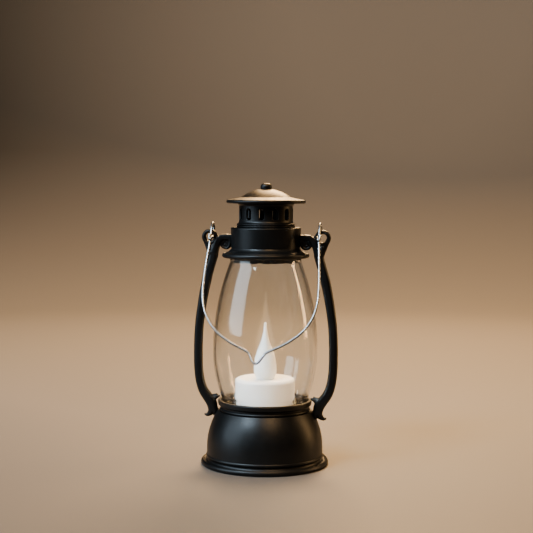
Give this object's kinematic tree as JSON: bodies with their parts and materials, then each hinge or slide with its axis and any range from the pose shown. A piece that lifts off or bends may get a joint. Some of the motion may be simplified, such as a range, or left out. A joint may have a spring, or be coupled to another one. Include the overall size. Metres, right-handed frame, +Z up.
{
  "type": "hurricane candle lantern",
  "caption": "Small black hurricane lantern with a clear bulged globe, side arms, a wire bail and a battery tealight that loads from below.",
  "frame": {"origin": "middle of the foot's underside, on the surface that the lantern stands on", "axes": "+Z up the lantern's axis, X through the two side arms, -Y towards the side where the bail rests on the globe"},
  "size_m": [0.093, 0.081, 0.1782],
  "materials": {
    "black_enamel": "satin black, fine grain",
    "clear_glass": "clear, polished",
    "bright_wire": "bright galvanised",
    "gasket_rubber": "matte",
    "plated_steel": "zinc plated",
    "black_plastic": "moulded",
    "candle_white": "soft gloss",
    "flame_diffuser": "frosted, translucent",
    "led_lens": "clear amber",
    "board_green": "solder mask",
    "cell_steel": "plated steel",
    "contact_spring": "spring brass"
  },
  "bodies": {
    "carrier": {"bottom_plate": "black_enamel", "pedestal": "black_plastic", "pedestal_screws": "plated_steel", "candle_tray": "black_plastic", "tray_screw": "plated_steel"},
    "lantern": {"base_dome": "black_enamel", "foot_ring": "black_enamel", "foot_ring_screws": "plated_steel", "globe_collar": "black_enamel", "globe_lower_gasket": "gasket_rubber", "globe": "clear_glass", "globe_upper_gasket": "gasket_rubber", "crown": "black_enamel", "chimney": "black_enamel", "chimney_screws": "plated_steel", "cap": "black_enamel", "cap_knob": "black_enamel", "cap_bridge": "plated_steel", "cap_nut": "plated_steel", "arm_left": "black_enamel", "arm_right": "black_enamel", "arm_foot_screws": "plated_steel", "arm_top_screws": "plated_steel"},
    "bail": {"bail_wire": "bright_wire"},
    "tealight": {"tealight_shell": "candle_white", "tealight_base": "candle_white", "flame": "flame_diffuser", "led": "led_lens", "circuit_board": "board_green", "coin_cell": "cell_steel", "positive_contact": "contact_spring", "negative_contact": "contact_spring", "switch_housing": "black_plastic"},
    "battery_door": {"battery_door": "candle_white"},
    "light_switch": {"switch_knob": "black_plastic"}
  },
  "joints": [
    {"name": "lantern_lift", "type": "slide", "parent": "carrier", "child": "lantern", "axis": [0, 0, 1], "range_m": [0, 0.1]},
    {"name": "tealight_lift", "type": "slide", "parent": "carrier", "child": "tealight", "axis": [0, 0, 1], "range_m": [0, 0.025]},
    {"name": "bail_swing", "type": "hinge", "parent": "lantern", "child": "bail", "pos_m": [0, 0, 0.14775], "axis": [-1, 0, 0], "range_deg": [0, 268]},
    {"name": "battery_door_turn", "type": "hinge", "parent": "tealight", "child": "battery_door", "pos_m": [0, 0, 0.0359], "axis": [0, 0, 1], "range_deg": [0, 30]},
    {"name": "switch_slide", "type": "slide", "parent": "tealight", "child": "light_switch", "axis": [1, 0, 0], "range_m": [0, 0.002]}
  ]
}
